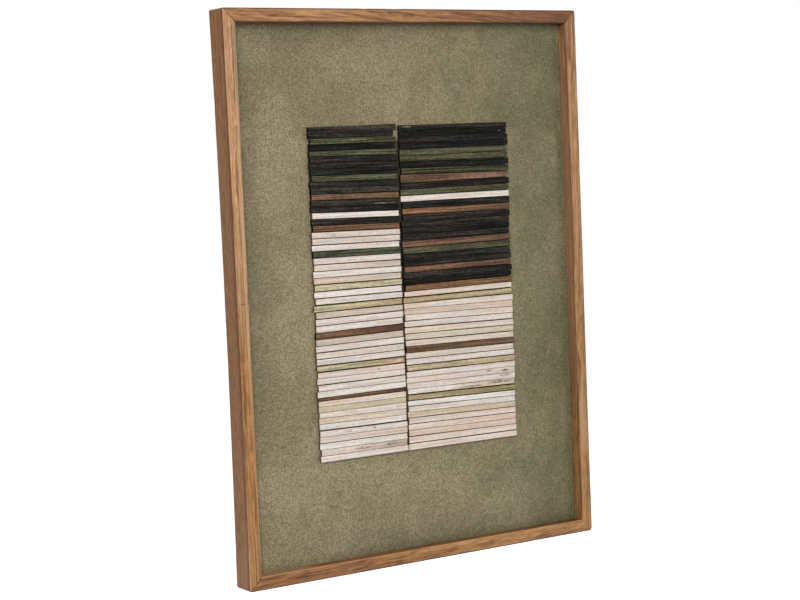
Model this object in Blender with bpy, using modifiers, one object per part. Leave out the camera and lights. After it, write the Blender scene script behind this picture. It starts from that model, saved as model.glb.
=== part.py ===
"""A framed wall panel: a mitred tray frame round a textured board, with two stacks of thin slats on it.

Metres, +Z up. The front faces -Y and the wall is the plane y = 0. The origin is in the middle of the
top rail's flat back rim, where a hanger is screwed on. Every slat is a closed solid. Slats of like
finish that touch are joined into one run, so a run is one object of one to five slats.
"""

import math
import random

import bmesh
import bpy
from mathutils import Matrix, Vector

MM = 0.001

# The frame. A corner's radius is how far its outer edge was sanded round, as seen from the front.
PANEL_WIDTH = 0.600
PANEL_HEIGHT = 0.800
FRAME_DEPTH = 0.040
RAIL_WIDTH = 0.019
LIP_DEPTH = 0.018
REBATE_WIDTH = 0.007
CORNER_RADIUS = {"top_left": 0.0018, "top_right": 0.0032, "bottom_right": 0.0050, "bottom_left": 0.0028}
CORNER_STEPS = 4
OUTER_ARRIS = 0.0009
INNER_ARRIS = 0.0009
BACK_ARRIS = 0.0008
ARRIS_STEPS = 3

WELD_DISTANCE = 1e-6
FLAT_ANGLE = math.radians(0.5)

# The gap that neighbouring solids keep, and the board, which lies in the rebate behind the lip.
FIT_GAP = 0.0003
BOARD_PLAY = 0.0005
BOARD_THICKNESS = 0.006

# The slats. Dark ones are cut a little shorter than pale ones, no two ends line up exactly, and a few
# fall short at their right end. A stack leans: a slat lies further right by a share of its height over
# the panel's centre.
SLAT_THICKNESS = 0.0050
SLAT_THICKNESS_SPREAD = 0.0005
FILLER_THICKNESS = 0.0034
SLAT_ARRIS = 0.0004
JOIN_OVERLAP = 0.0001
DARK_FINISHES = ("black", "olive", "green", "rust")
LEFT_STACK_ENDS = {"dark": (-0.1701, -0.0218), "pale": (-0.1713, -0.0219)}
RIGHT_STACK_ENDS = {"dark": (-0.0199, 0.1753), "pale": (-0.0216, 0.1749)}
STACK_LEAN = 0.0035
RAGGED_END = 0.0013
RAGGED_SEED = 53
CUT_SHORT = {("left", 2): 0.0032, ("left", 4): 0.0022, ("right", 2): 0.0020}

# The runs of each stack from the top down: the finish, and how many slats the run has.
LEFT_RUNS = (
    ("black", 2), ("olive", 1), ("black", 1), ("olive", 1), ("black", 3), ("olive", 1), ("black", 2),
    ("rust", 1), ("green", 1), ("black", 1), ("limewash", 1), ("black", 1), ("rust", 1),
    ("limewash", 3), ("green", 1), ("limewash", 4), ("khaki", 1), ("limewash", 2), ("khaki", 1),
    ("limewash", 3), ("walnut", 1), ("limewash", 4), ("khaki", 1), ("limewash", 4), ("walnut", 1),
    ("limewash", 5), ("limewash", 5),
)
RIGHT_RUNS = (
    ("black", 4), ("olive", 2), ("black", 1), ("green", 1), ("rust", 1), ("black", 1), ("green", 1),
    ("limewash", 1), ("black", 1), ("rust", 1), ("black", 4), ("rust", 1), ("olive", 1),
    ("black", 2), ("rust", 1), ("black", 2), ("rust", 1), ("limewash", 1), ("khaki", 1),
    ("limewash", 4), ("limewash", 3), ("walnut", 1), ("limewash", 2), ("khaki", 1),
    ("limewash", 4), ("khaki", 1), ("limewash", 4), ("limewash", 4),
)
FILLER_SLAT = 43

# Marks that a stack was laid to: the slats above the mark, the height of that joint over the panel's
# centre, and how far the joint rises from its left end to its right end, both in millimetres.
LEFT_MARKS = (
    (0, 237.0, 1.2), (5, 194.0, -1.0), (14, 114.8, -2.8), (20, 61.2, -1.6), (25, 14.8, -0.4),
    (32, -52.0, 2.2), (37, -99.2, 0.6), (42, -144.8, 1.0), (43, -149.6, 0.2), (47, -183.2, -1.6),
    (53, -237.5, 0.0),
)
RIGHT_MARKS = (
    (0, 235.5, 0.2), (4, 200.8, 1.2), (8, 163.2, -1.8), (9, 152.2, 2.4), (11, 133.8, 0.8),
    (14, 105.2, -1.2), (18, 68.2, 1.4), (20, 49.0, 0.2), (22, 31.2, 1.4), (26, -4.7, 1.6),
    (28, -22.2, 0.6), (30, -40.2, -2.4), (35, -86.7, -2.2), (40, -131.6, -1.0), (44, -166.2, -3.4),
    (47, -191.6, -3.4), (50, -218.6, -2.4), (52, -238.0, -0.6),
)

# Finishes: colour, roughness.
FINISHES = {
    "frame_wood": ((0.42, 0.22, 0.10), 0.55),
    "board_paint": ((0.21, 0.19, 0.11), 0.90),
    "black": ((0.030, 0.030, 0.033), 0.70),
    "olive": ((0.105, 0.110, 0.060), 0.75),
    "green": ((0.045, 0.070, 0.040), 0.75),
    "rust": ((0.200, 0.100, 0.055), 0.70),
    "walnut": ((0.090, 0.050, 0.032), 0.65),
    "khaki": ((0.560, 0.500, 0.300), 0.80),
    "limewash": ((0.760, 0.690, 0.620), 0.80),
}

INNER_WIDTH = PANEL_WIDTH - 2 * RAIL_WIDTH
INNER_HEIGHT = PANEL_HEIGHT - 2 * RAIL_WIDTH
BACK_RIM = RAIL_WIDTH - REBATE_WIDTH
CENTRE_Z = BACK_RIM / 2 - PANEL_HEIGHT / 2
LIP_BACK_Y = LIP_DEPTH - FRAME_DEPTH
BOARD_FRONT_Y = LIP_BACK_Y + FIT_GAP

for old in list(bpy.data.objects):
    bpy.data.objects.remove(old, do_unlink=True)

panel = bpy.data.collections.new("wood_relief_wall_panel")
cutters = bpy.data.collections.new("cutters")
bpy.context.scene.collection.children.link(panel)
bpy.context.scene.collection.children.link(cutters)


def finish_material(name):
    """The Principled material of a finish, made once."""
    found = bpy.data.materials.get(name)
    if found:
        return found
    colour, roughness = FINISHES[name]
    material = bpy.data.materials.new(name)
    material.use_nodes = True
    shader = material.node_tree.nodes["Principled BSDF"]
    shader.inputs["Base Color"].default_value = (*colour, 1.0)
    shader.inputs["Roughness"].default_value = roughness
    shader.inputs["Metallic"].default_value = 0.0
    material.diffuse_color = (*colour, 1.0)
    return material


def add_part(name, mesh, finish, location):
    """Puts a finished sub-part in the panel's collection."""
    part = bpy.data.objects.new(name, mesh)
    panel.objects.link(part)
    part.location = location
    part.data.materials.append(finish_material(finish))
    return part


def add_helper(name, mesh, location):
    """Puts a shape that only cuts or joins other shapes in the cutters' collection."""
    helper = bpy.data.objects.new(name, mesh)
    cutters.objects.link(helper)
    helper.location = location
    helper.hide_render = True
    helper.display_type = "WIRE"
    return helper


def box_mesh(name, size):
    """A cuboid round its own centre."""
    shape = bmesh.new()
    bmesh.ops.create_cube(shape, size=1.0)
    bmesh.ops.scale(shape, vec=Vector(size), verts=shape.verts)
    mesh = bpy.data.meshes.new(name)
    shape.to_mesh(mesh)
    shape.free()
    return mesh


def add_bevel(part, width, steps, by_weight=False):
    """Softens a part's edges: all of them, or those that carry a bevel weight."""
    bevel = part.modifiers.new("arris", "BEVEL")
    bevel.width = width
    bevel.segments = steps
    bevel.limit_method = "WEIGHT" if by_weight else "ANGLE"
    bevel.use_clamp_overlap = False


def add_boolean(part, other, operation):
    """Cuts another solid out of a part, or joins it on."""
    boolean = part.modifiers.new(operation.lower(), "BOOLEAN")
    boolean.operation = operation
    boolean.object = other
    boolean.solver = "EXACT"


# The frame: four rails, each a mitred outline seen from the front and extruded to the frame's depth.


def rail_outline(inner_length, start_radius, end_radius):
    """A rail seen from the front: X runs along it, Z outwards from its inner edge. Half the joint's gap
    comes off each mitre, and the outer corners are arcs that end on the mitres."""
    setback = FIT_GAP / 2 * math.sqrt(2)
    half = inner_length / 2
    outline = [(-half + setback, 0.0), (half - setback, 0.0)]
    for side, radius in ((1, end_radius), (-1, start_radius)):
        centre_x = half + RAIL_WIDTH - radius
        centre_z = RAIL_WIDTH - radius
        mitre_angle = math.acos(-setback / (math.sqrt(2) * radius)) - math.pi / 4
        arc = []
        for step in range(CORNER_STEPS + 1):
            angle = mitre_angle + (math.pi / 2 - mitre_angle) * step / CORNER_STEPS
            x = centre_x + radius * math.cos(angle)
            arc.append((side * x, centre_z + radius * math.sin(angle)))
        outline += arc if side == 1 else reversed(arc)
    return outline


def extruded_outline(name, outline, depth):
    """A closed mesh from a flat outline in X and Z, extruded along Y from -depth to 0."""
    curve = bpy.data.curves.new(name, "CURVE")
    curve.dimensions = "2D"
    curve.fill_mode = "BOTH"
    curve.extrude = depth / 2
    spline = curve.splines.new("POLY")
    spline.points.add(len(outline) - 1)
    for point, (x, z) in zip(spline.points, outline):
        point.co = (x, z, 0.0, 1.0)
    spline.use_cyclic_u = True
    flat = bpy.data.objects.new(name, curve)
    cutters.objects.link(flat)
    evaluated = flat.evaluated_get(bpy.context.evaluated_depsgraph_get())
    mesh = bpy.data.meshes.new_from_object(evaluated)
    bpy.data.objects.remove(flat, do_unlink=True)
    shape = bmesh.new()
    shape.from_mesh(mesh)
    bmesh.ops.remove_doubles(shape, verts=shape.verts, dist=WELD_DISTANCE)
    bmesh.ops.dissolve_limit(shape, angle_limit=FLAT_ANGLE, verts=shape.verts, edges=shape.edges)
    upright = Matrix.Translation((0.0, -depth / 2, 0.0)) @ Matrix.Rotation(math.pi / 2, 4, "X")
    bmesh.ops.transform(shape, matrix=upright, verts=shape.verts)
    bmesh.ops.recalc_face_normals(shape, faces=shape.faces)
    shape.to_mesh(mesh)
    shape.free()
    return mesh


def weigh_arrises(mesh):
    """Gives the rail's long edges their bevel weights. The mitres' edges stay sharp, and so does the
    inner edge at the back, which the rebate takes away."""
    weights = mesh.attributes.new("bevel_weight_edge", "FLOAT", "EDGE")
    for edge in mesh.edges:
        a, b = (mesh.vertices[i].co for i in edge.vertices)
        if abs(a.y - b.y) > WELD_DISTANCE:
            continue
        at_front = a.y < -FRAME_DEPTH / 2
        if min(a.z, b.z) > RAIL_WIDTH / 2:
            weights.data[edge.index].value = (OUTER_ARRIS if at_front else BACK_ARRIS) / OUTER_ARRIS
        elif max(a.z, b.z) < WELD_DISTANCE and at_front:
            weights.data[edge.index].value = INNER_ARRIS / OUTER_ARRIS


def add_rail(name, inner_length, corners, location, turn, rebate):
    """One rail, placed by the middle of its inner edge and turned about Y so that it faces outwards."""
    start_corner, end_corner = corners
    outline = rail_outline(inner_length, CORNER_RADIUS[start_corner], CORNER_RADIUS[end_corner])
    mesh = extruded_outline(name, outline, FRAME_DEPTH)
    weigh_arrises(mesh)
    rail = add_part(name, mesh, "frame_wood", location)
    rail.rotation_euler = (0.0, turn, 0.0)
    add_bevel(rail, OUTER_ARRIS, ARRIS_STEPS, by_weight=True)
    add_boolean(rail, rebate, "DIFFERENCE")


# One block, centred on the wall plane, cuts the rebate from behind in all four rails.
rebate_depth = FRAME_DEPTH - LIP_DEPTH
rebate_size = (INNER_WIDTH + 2 * REBATE_WIDTH, 2 * rebate_depth, INNER_HEIGHT + 2 * REBATE_WIDTH)
rebate_cutter = add_helper("rebate_cutter", box_mesh("rebate_cutter", rebate_size), (0.0, 0.0, CENTRE_Z))

half_width = INNER_WIDTH / 2
half_height = INNER_HEIGHT / 2
for name, inner_length, corners, (x, z), turn in (
    ("top_rail", INNER_WIDTH, ("top_left", "top_right"), (0.0, half_height), 0.0),
    ("right_stile", INNER_HEIGHT, ("top_right", "bottom_right"), (half_width, 0.0), math.pi / 2),
    ("bottom_rail", INNER_WIDTH, ("bottom_right", "bottom_left"), (0.0, -half_height), math.pi),
    ("left_stile", INNER_HEIGHT, ("bottom_left", "top_left"), (-half_width, 0.0), -math.pi / 2),
):
    add_rail(name, inner_length, corners, (x, 0.0, CENTRE_Z + z), turn, rebate_cutter)

# The board lies in the rebate, just behind the lip.

board_width = INNER_WIDTH + 2 * (REBATE_WIDTH - BOARD_PLAY)
board_height = INNER_HEIGHT + 2 * (REBATE_WIDTH - BOARD_PLAY)
board_mesh = box_mesh("backing_board", (board_width, BOARD_THICKNESS, board_height))
board_middle_y = BOARD_FRONT_Y + BOARD_THICKNESS / 2
board = add_part("backing_board", board_mesh, "board_paint", (0.0, board_middle_y, CENTRE_Z))
add_bevel(board, SLAT_ARRIS, 1)

# The slats lie flat on the board, in two stacks side by side.


def joint_line(marks, above):
    """The heights, over the panel's centre, of the left and right ends of the joint under a number of
    slats, read between the two marks next to it."""
    for (count_a, height_a, rise_a), (count_b, height_b, rise_b) in zip(marks, marks[1:]):
        if count_a <= above <= count_b:
            share = (above - count_a) / (count_b - count_a)
            height = height_a + (height_b - height_a) * share
            rise = rise_a + (rise_b - rise_a) * share
            return (height - rise / 2) * MM, (height + rise / 2) * MM
    raise ValueError(above)


def slat_mesh(name, ends, top, bottom, thickness):
    """A slat between two joint lines: a cube whose corners are moved to the slat's own. It is round
    (0, 0, 0) in X and Z, and lies with its back at y = 0. Returns it with the middle's X and Z."""
    middle_x = sum(ends) / 2
    middle_z = (sum(top) + sum(bottom)) / 4
    shape = bmesh.new()
    bmesh.ops.create_cube(shape, size=1.0)
    for vertex in shape.verts:
        side = 1 if vertex.co.x > 0 else 0
        line = top if vertex.co.z > 0 else bottom
        front = vertex.co.y < 0
        vertex.co = (ends[side] - middle_x, -thickness if front else 0.0, line[side] - middle_z)
    mesh = bpy.data.meshes.new(name)
    shape.to_mesh(mesh)
    shape.free()
    return mesh, middle_x, middle_z


def add_stack(side, runs, marks, stack_ends, draw):
    """All the runs of one stack. Inside a run the slats overlap a hair and are joined; between runs
    there is the fit gap."""
    above = 0
    for finish, count in runs:
        first, last = above + 1, above + count
        numbers = f"{first:02d}" if count == 1 else f"{first:02d}-{last:02d}"
        run_name = f"{side}_slat{'' if count == 1 else 's'}_{numbers}_{finish}"
        run = None
        for number in range(first, last + 1):
            tone = "dark" if finish in DARK_FINISHES else "pale"
            lean = STACK_LEAN * joint_line(marks, number)[0]
            left_end = stack_ends[tone][0] + lean + draw.uniform(0.0, RAGGED_END)
            right_end = stack_ends[tone][1] + lean - draw.uniform(0.0, RAGGED_END)
            right_end -= CUT_SHORT.get((side, number), 0.0)
            thickness = SLAT_THICKNESS + draw.uniform(-SLAT_THICKNESS_SPREAD, SLAT_THICKNESS_SPREAD)
            if side == "left" and number == FILLER_SLAT:
                thickness = FILLER_THICKNESS
            top_trim = FIT_GAP / 2 if number == first else -JOIN_OVERLAP
            bottom_trim = FIT_GAP / 2 if number == last else -JOIN_OVERLAP
            top = [z - top_trim for z in joint_line(marks, number - 1)]
            bottom = [z + bottom_trim for z in joint_line(marks, number)]
            name = f"{side}_slat_{number:02d}"
            mesh, x, z = slat_mesh(name, (left_end, right_end), top, bottom, thickness)
            location = (x, BOARD_FRONT_Y - FIT_GAP, CENTRE_Z + z)
            if run is None:
                run = add_part(run_name, mesh, finish, location)
                add_bevel(run, SLAT_ARRIS, 1)
            else:
                neighbour = add_helper(name, mesh, location)
                add_bevel(neighbour, SLAT_ARRIS, 1)
                add_boolean(run, neighbour, "UNION")
        above = last


ragged = random.Random(RAGGED_SEED)
add_stack("left", LEFT_RUNS, LEFT_MARKS, LEFT_STACK_ENDS, ragged)
add_stack("right", RIGHT_RUNS, RIGHT_MARKS, RIGHT_STACK_ENDS, ragged)
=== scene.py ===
"""The looks of a framed wall panel: a mitred tray frame of oiled hardwood round a sand-painted board,
with two stacks of old stained slats laid on it. Metres, +Z up, the front faces -Y.
"""

import math
import random

import bmesh
import bpy
from mathutils import Euler, Matrix, Vector, noise


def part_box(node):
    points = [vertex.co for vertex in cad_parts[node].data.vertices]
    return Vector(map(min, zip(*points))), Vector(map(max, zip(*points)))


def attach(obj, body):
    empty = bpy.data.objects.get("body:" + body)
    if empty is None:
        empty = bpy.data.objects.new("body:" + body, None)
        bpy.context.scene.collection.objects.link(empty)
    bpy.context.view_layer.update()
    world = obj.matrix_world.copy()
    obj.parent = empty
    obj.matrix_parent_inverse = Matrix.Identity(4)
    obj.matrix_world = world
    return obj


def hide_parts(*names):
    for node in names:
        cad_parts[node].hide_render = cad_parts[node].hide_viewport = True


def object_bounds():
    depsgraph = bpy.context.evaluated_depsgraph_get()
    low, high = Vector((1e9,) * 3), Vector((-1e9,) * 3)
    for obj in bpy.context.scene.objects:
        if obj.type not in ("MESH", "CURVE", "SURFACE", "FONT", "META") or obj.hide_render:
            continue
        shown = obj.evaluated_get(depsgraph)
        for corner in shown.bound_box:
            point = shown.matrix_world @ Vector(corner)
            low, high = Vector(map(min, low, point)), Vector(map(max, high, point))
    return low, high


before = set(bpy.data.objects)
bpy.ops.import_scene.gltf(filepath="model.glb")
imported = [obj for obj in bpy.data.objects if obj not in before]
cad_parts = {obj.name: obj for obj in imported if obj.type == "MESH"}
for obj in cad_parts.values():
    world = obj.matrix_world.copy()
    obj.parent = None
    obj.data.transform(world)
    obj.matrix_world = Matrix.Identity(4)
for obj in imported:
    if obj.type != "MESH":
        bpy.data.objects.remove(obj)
cad_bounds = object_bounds()


# ----------------------------------------------------------
# The frame: four rails of reclaimed hardwood, planed to an L section, mitred and glued at the
# corners, with every arris sanded by hand. The wood is oiled in front and bare at the back.
# ----------------------------------------------------------

MM = 0.001
LIP_DEPTH = 18 * MM
REBATE_WIDTH = 7 * MM
JOINT_GAP = 0.04 * MM
OUTER_ARRIS = 0.9 * MM
INNER_ARRIS = 0.9 * MM
BACK_ARRIS = 0.8 * MM
SHARP = 0.15 * MM
PROFILE_STEP = 1.25 * MM
STATION_STEP = 2.6 * MM

# Each corner's radius, and how far its mitre has opened at the inner and at the outer end. Across the
# rail an opening narrows with the first power, and along it the opening fades with the second.
CORNERS = {
    "top_left": (1.8 * MM, 0.9 * MM, 0.0),
    "top_right": (3.2 * MM, 0.10 * MM, 0.0),
    "bottom_right": (5.0 * MM, 0.0, 0.0),
    "bottom_left": (2.8 * MM, 0.15 * MM, 0.30 * MM),
}
OPEN_ACROSS_POWER = 3
OPEN_ALONG_POWER = 40

# How far a rail's outer side is planed hollow, in the middle of its length and at the back. The front
# is hollow by half as much, and a rail that isn't named is straight.
HOLLOW_SIDE = {"left_stile": 2.7 * MM}

# What the hand plane and the sanding took off: ripples, dents, and the wear of an arris.
RIPPLE_DEPTH = 0.10 * MM
DENT_DEPTH = 0.9 * MM
RUB_DEPTH = 0.30 * MM

panel_low, panel_high = cad_bounds
centre_x = (panel_low.x + panel_high.x) / 2
centre_z = (panel_low.z + panel_high.z) / 2
front_y = panel_low.y
back_y = panel_high.y
top_rail_low, top_rail_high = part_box("top_rail")
rail_width = top_rail_high.z - top_rail_low.z
inner_width = panel_high.x - panel_low.x - 2 * rail_width
inner_height = panel_high.z - panel_low.z - 2 * rail_width


def paint(red, green, blue):
    """A colour as it is mixed on a colour card, 0 to 255, turned into the linear light of a shader."""
    linear = []
    for part in (red, green, blue):
        part /= 255
        linear.append(part / 12.92 if part <= 0.04045 else ((part + 0.055) / 1.055) ** 2.4)
    return (*linear, 1.0)


UNSTRETCHED = (1.0, 1.0, 1.0)


class Wire:
    """The output of a node. A sum on a wire adds its Math node, and node() adds any other node."""

    def __init__(self, tree, socket=None):
        self.tree = tree
        self.socket = socket

    def node(self, kind, settings=None, inputs=None, output=0):
        """Adds a node of a kind: its settings first, then a value or a wire for each input socket."""
        made = self.tree.nodes.new(kind)
        for name, value in (settings or {}).items():
            if name == "stops":
                ramp = made.color_ramp
                while len(ramp.elements) < len(value):
                    ramp.elements.new(0.5)
                for element, (place, colour) in zip(ramp.elements, value):
                    element.position = place
                    element.color = colour
            else:
                setattr(made, name, value)
        for key, value in (inputs or {}).items():
            if isinstance(value, Wire):
                self.tree.links.new(value.socket, made.inputs[key])
            else:
                made.inputs[key].default_value = value
        return Wire(self.tree, made.outputs[output] if made.outputs else None)

    def math(self, operation, *others):
        """A Math node on this wire and on other wires or numbers."""
        return self.node("ShaderNodeMath", {"operation": operation}, dict(enumerate((self, *others))))

    def __add__(self, other):
        return self.math("ADD", other)

    def __sub__(self, other):
        return self.math("SUBTRACT", other)

    def __rsub__(self, other):
        return self.node("ShaderNodeMath", {"operation": "SUBTRACT"}, {0: other, 1: self})

    def __mul__(self, other):
        return self.math("MULTIPLY", other)

    def __truediv__(self, other):
        return self.math("DIVIDE", other)

    def __abs__(self):
        return self.math("ABSOLUTE")

    __radd__ = __add__
    __rmul__ = __mul__

    def vector(self, x, y, z):
        """Three wires or numbers as one vector."""
        return self.node("ShaderNodeCombineXYZ", None, {0: x, 1: y, 2: z})

    def shifted(self, other):
        """This vector, moved by another vector or by three numbers."""
        return self.node("ShaderNodeVectorMath", {"operation": "ADD"}, {0: self, 1: other})

    def parts(self):
        """The X, Y and Z of this vector, each as a wire."""
        split = self.node("ShaderNodeSeparateXYZ", None, {0: self}).socket.node
        return [Wire(self.tree, socket) for socket in split.outputs]

    def grain(self, stretch, detail=3.0, roughness=0.55, distortion=0.0):
        """Noise between 0 and 1 at this place, which is multiplied by the stretch first."""
        place = self.node("ShaderNodeVectorMath", {"operation": "MULTIPLY"}, {0: self, 1: stretch})
        inputs = {"Vector": place, "Scale": 1.0, "Detail": detail, "Roughness": roughness}
        inputs["Distortion"] = distortion
        return self.node("ShaderNodeTexNoise", None, inputs)

    def band(self, low, high, from_value=0.0, to_value=1.0):
        """A soft step: from_value where this is under low, to_value where it is over high."""
        inputs = {0: self, 1: low, 2: high, 3: from_value, 4: to_value}
        return self.node("ShaderNodeMapRange", {"interpolation_type": "SMOOTHSTEP"}, inputs)

    def mixed(self, first, second):
        """The first colour where this mask is 0 and the second where it is 1."""
        return self.node("ShaderNodeMix", {"data_type": "RGBA"}, {0: self, 6: first, 7: second}, 2)

    def tinted(self, tint, share=1.0):
        """This colour, multiplied by a tint where the share is 1 and left alone where it is 0."""
        settings = {"data_type": "RGBA", "blend_type": "MULTIPLY"}
        return self.node("ShaderNodeMix", settings, {0: share, 6: self, 7: tint}, 2)

    def toned(self, strength, grain, spread=0.12):
        """This colour, lighter where the grain is over 0.5 and darker where it is under. A spread
        away from 0.5 it changes by the whole strength."""
        shade = grain.band(0.5 - spread, 0.5 + spread) * (2 * strength) + (1 - strength)
        return self.tinted(self.vector(shade, shade, shade))

    def spot(self, x, z, half_length, half_height, ragged):
        """A soft-edged oval in the plane of the panel: 1 at its middle, 0 outside it. The place and
        the half sizes are wires or numbers, and ragged moves its edge in and out."""
        own_x, _, own_z = self.parts()
        across = (own_x - x) / half_length
        up = (own_z - z) / half_height
        reach = across * across + up * up
        return (reach + (ragged - 0.5) * 1.4).band(1.15, 0.35)


def new_surface(name, roughness):
    """A new material, its Principled shader, and the place on the piece as a wire."""
    material = bpy.data.materials.new(name)
    material.use_nodes = True
    shader = material.node_tree.nodes["Principled BSDF"]
    shader.inputs["Roughness"].default_value = roughness
    place = Wire(material.node_tree).node("ShaderNodeTexCoord", output="Object")
    return material, shader, place


def feed(shader, wire, socket_name):
    """Links a wire to one of the shader's sockets."""
    wire.tree.links.new(wire.socket, shader.inputs[socket_name])


def bump(height, strength, distance):
    """A Bump node's normal from a height wire."""
    inputs = {"Strength": strength, "Distance": distance, "Height": height}
    return height.node("ShaderNodeBump", None, inputs)


def new_object(name, data):
    """An object for a mesh, a light or a camera, at the origin and linked to the scene."""
    made = bpy.data.objects.new(name, data)
    bpy.context.scene.collection.objects.link(made)
    return made


def rounded_profile(corners, step):
    """A closed section of straight sides and round corners. Each corner is (outwards, y, radius).
    Returns the points, and for each point its outward normal."""
    points, normals = [], []
    count = len(corners)
    for index in range(count):
        before = Vector(corners[index - 1][:2])
        corner = Vector(corners[index][:2])
        after = Vector(corners[(index + 1) % count][:2])
        radius = corners[index][2]
        next_radius = corners[(index + 1) % count][2]
        coming = (corner - before).normalized()
        going = (after - corner).normalized()
        turns_out = coming.x * going.y - coming.y * going.x < 0
        middle = corner - coming * radius + going * radius
        arc_steps = 4 if radius > SHARP else 1
        for arc_step in range(arc_steps + 1):
            angle = math.pi / 2 * arc_step / arc_steps
            offset = coming * math.sin(angle) - going * math.cos(angle)
            points.append(middle + offset * radius)
            normals.append(offset if turns_out else -offset)
        start = corner + going * radius
        side = (after - going * next_radius) - start
        side_steps = max(2, round(side.length / step))
        for side_step in range(1, side_steps):
            points.append(start + side * side_step / side_steps)
            normals.append(Vector((-going.y, going.x)))
    return points, normals


def round_corner(x, outwards, corner_x, radius):
    """Moves a point of the square corner's quarter into the quarter of a disc."""
    over_x = x - corner_x
    over_out = outwards - (rail_width - radius)
    if over_x <= 0 or over_out <= 0:
        return x, outwards
    shrink = max(over_x, over_out) / math.hypot(over_x, over_out)
    return corner_x + over_x * shrink, rail_width - radius + over_out * shrink


def worn_depth(x, outwards, y, on_arris, seed):
    """How far the hand-planed surface lies under the true one: ripples along the grain, shallow
    dents, and arrises that are rubbed away unevenly."""
    ripple = 0.5 + 0.5 * noise.noise(Vector((x * 9, outwards * 210 + seed, y * 210)))
    dent = max(0.0, noise.noise(Vector((x * 45 + seed, outwards * 80, y * 80))) - 0.42)
    depth = RIPPLE_DEPTH * ripple + DENT_DEPTH * dent
    if on_arris:
        rub = max(0.0, noise.noise(Vector((x * 32, seed * 3.1, outwards * 60))) + 0.15)
        depth += RUB_DEPTH * rub
    return depth


def extent(corners):
    """The lowest and the highest X, Y and Z of some corners."""
    low = Vector([min(corner[axis] for corner in corners) for axis in range(3)])
    high = Vector([max(corner[axis] for corner in corners) for axis in range(3)])
    return low, high


def finished_mesh(name, shape):
    """A smooth-shaded mesh of a shape, whose faces are turned outwards first."""
    bmesh.ops.recalc_face_normals(shape, faces=shape.faces)
    mesh = bpy.data.meshes.new(name)
    shape.to_mesh(mesh)
    shape.free()
    mesh.shade_smooth()
    return mesh


def rail_mesh(name, inner_length, corners, seed, hollow):
    """A mitred rail. Its own X runs along it, Z outwards from its inner edge, and Y is the panel's."""
    lip_back = front_y + LIP_DEPTH
    section = (
        (rail_width, back_y, BACK_ARRIS),
        (rail_width, front_y, OUTER_ARRIS),
        (0.0, front_y, INNER_ARRIS),
        (0.0, lip_back, SHARP),
        (REBATE_WIDTH, lip_back, SHARP),
        (REBATE_WIDTH, back_y, SHARP),
    )
    points, normals = rounded_profile(section, PROFILE_STEP)
    start_corner, end_corner = corners
    half = inner_length / 2
    stations = round(inner_length / STATION_STEP)
    shape = bmesh.new()
    rings = []
    for station in range(stations + 1):
        share = 2 * station / stations - 1
        corner = start_corner if share < 0 else end_corner
        radius, open_inner, open_outer = CORNERS[corner]
        ring = []
        for point, normal in zip(points, normals):
            outwards, y = point
            across = outwards / rail_width
            opened = open_inner * (1 - across) ** OPEN_ACROSS_POWER
            opened += open_outer * across ** OPEN_ACROSS_POWER
            reach = half + outwards - JOINT_GAP / 2 * math.sqrt(2)
            reach -= opened * abs(share) ** OPEN_ALONG_POWER
            x = abs(share) * reach
            x, outwards = round_corner(x, outwards, half + rail_width - radius, radius)
            on_arris = abs(normal.x) > 0.1 and abs(normal.y) > 0.1
            depth = worn_depth(math.copysign(x, share), outwards, y, on_arris, seed)
            deeper_behind = 0.5 + 0.5 * (y - front_y) / (back_y - front_y)
            outside = max(0.0, outwards - REBATE_WIDTH) / (rail_width - REBATE_WIDTH)
            outwards -= normal.x * depth + hollow * (1 - share * share) * deeper_behind * outside
            y -= normal.y * depth
            ring.append(shape.verts.new((math.copysign(x, share), y, outwards)))
        rings.append(ring)
    for ring, next_ring in zip(rings, rings[1:]):
        for index in range(len(ring)):
            after = (index + 1) % len(ring)
            shape.faces.new((ring[index], ring[after], next_ring[after], next_ring[index]))
    for ring in (rings[0], rings[-1]):
        for edge in shape.faces.new(ring).edges:
            edge.smooth = False
    return finished_mesh(name, shape)


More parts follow.
